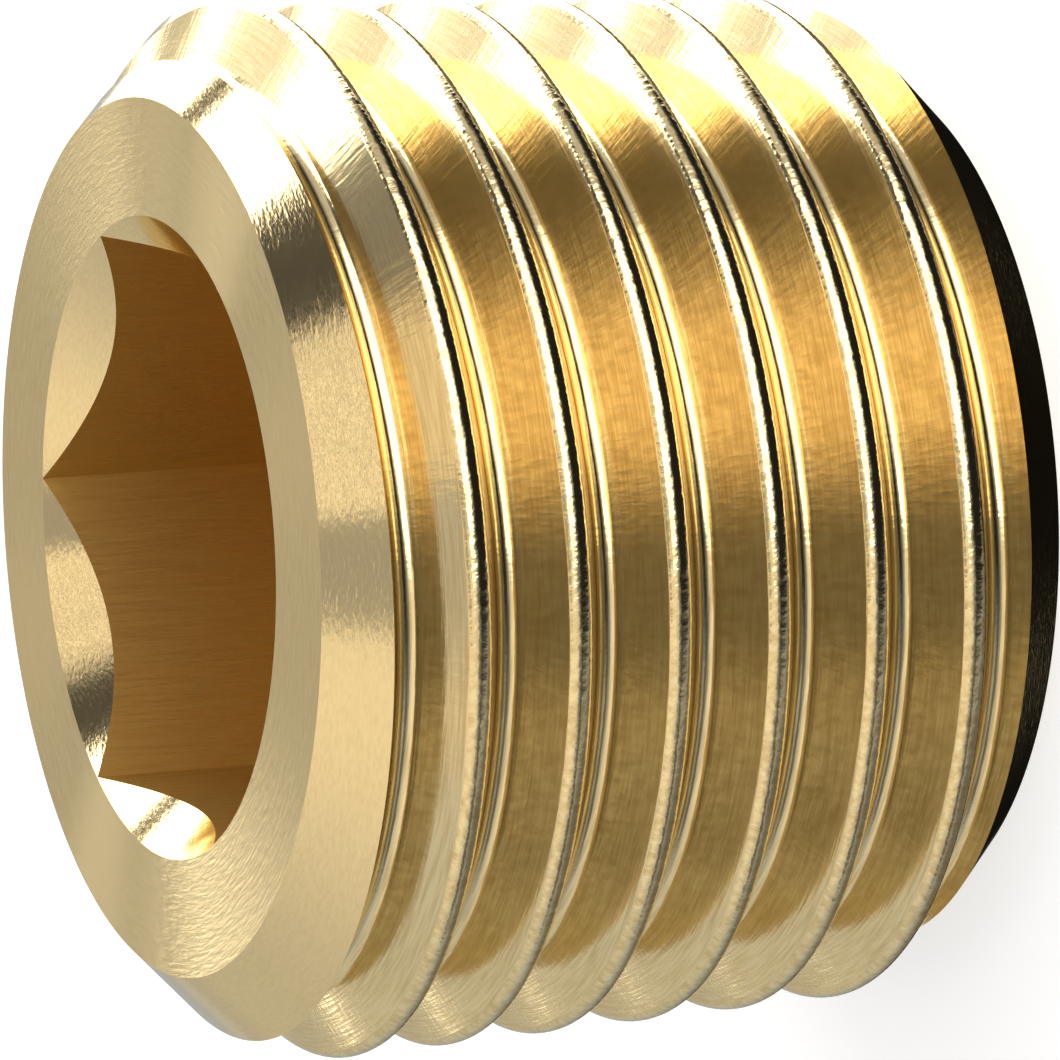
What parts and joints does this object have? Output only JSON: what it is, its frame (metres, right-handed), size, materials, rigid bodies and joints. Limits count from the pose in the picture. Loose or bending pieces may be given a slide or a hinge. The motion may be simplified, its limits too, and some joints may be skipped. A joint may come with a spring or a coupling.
{
  "type": "hex socket plug",
  "caption": "Headless brass pipe plug with a taper thread all along it, chamfered at both ends and driven by a hexagon socket.",
  "frame": {"origin": "centre of the flat small end, which the plug stands on", "axes": "+Z along the thread's axis from the small end to the socket; +X towards a corner of the hexagon"},
  "size_m": [0.0134, 0.0134, 0.01],
  "materials": {
    "brass": "bright turned brass, bare"
  },
  "bodies": {
    "root": {"plug_body": "brass"}
  },
  "joints": []
}
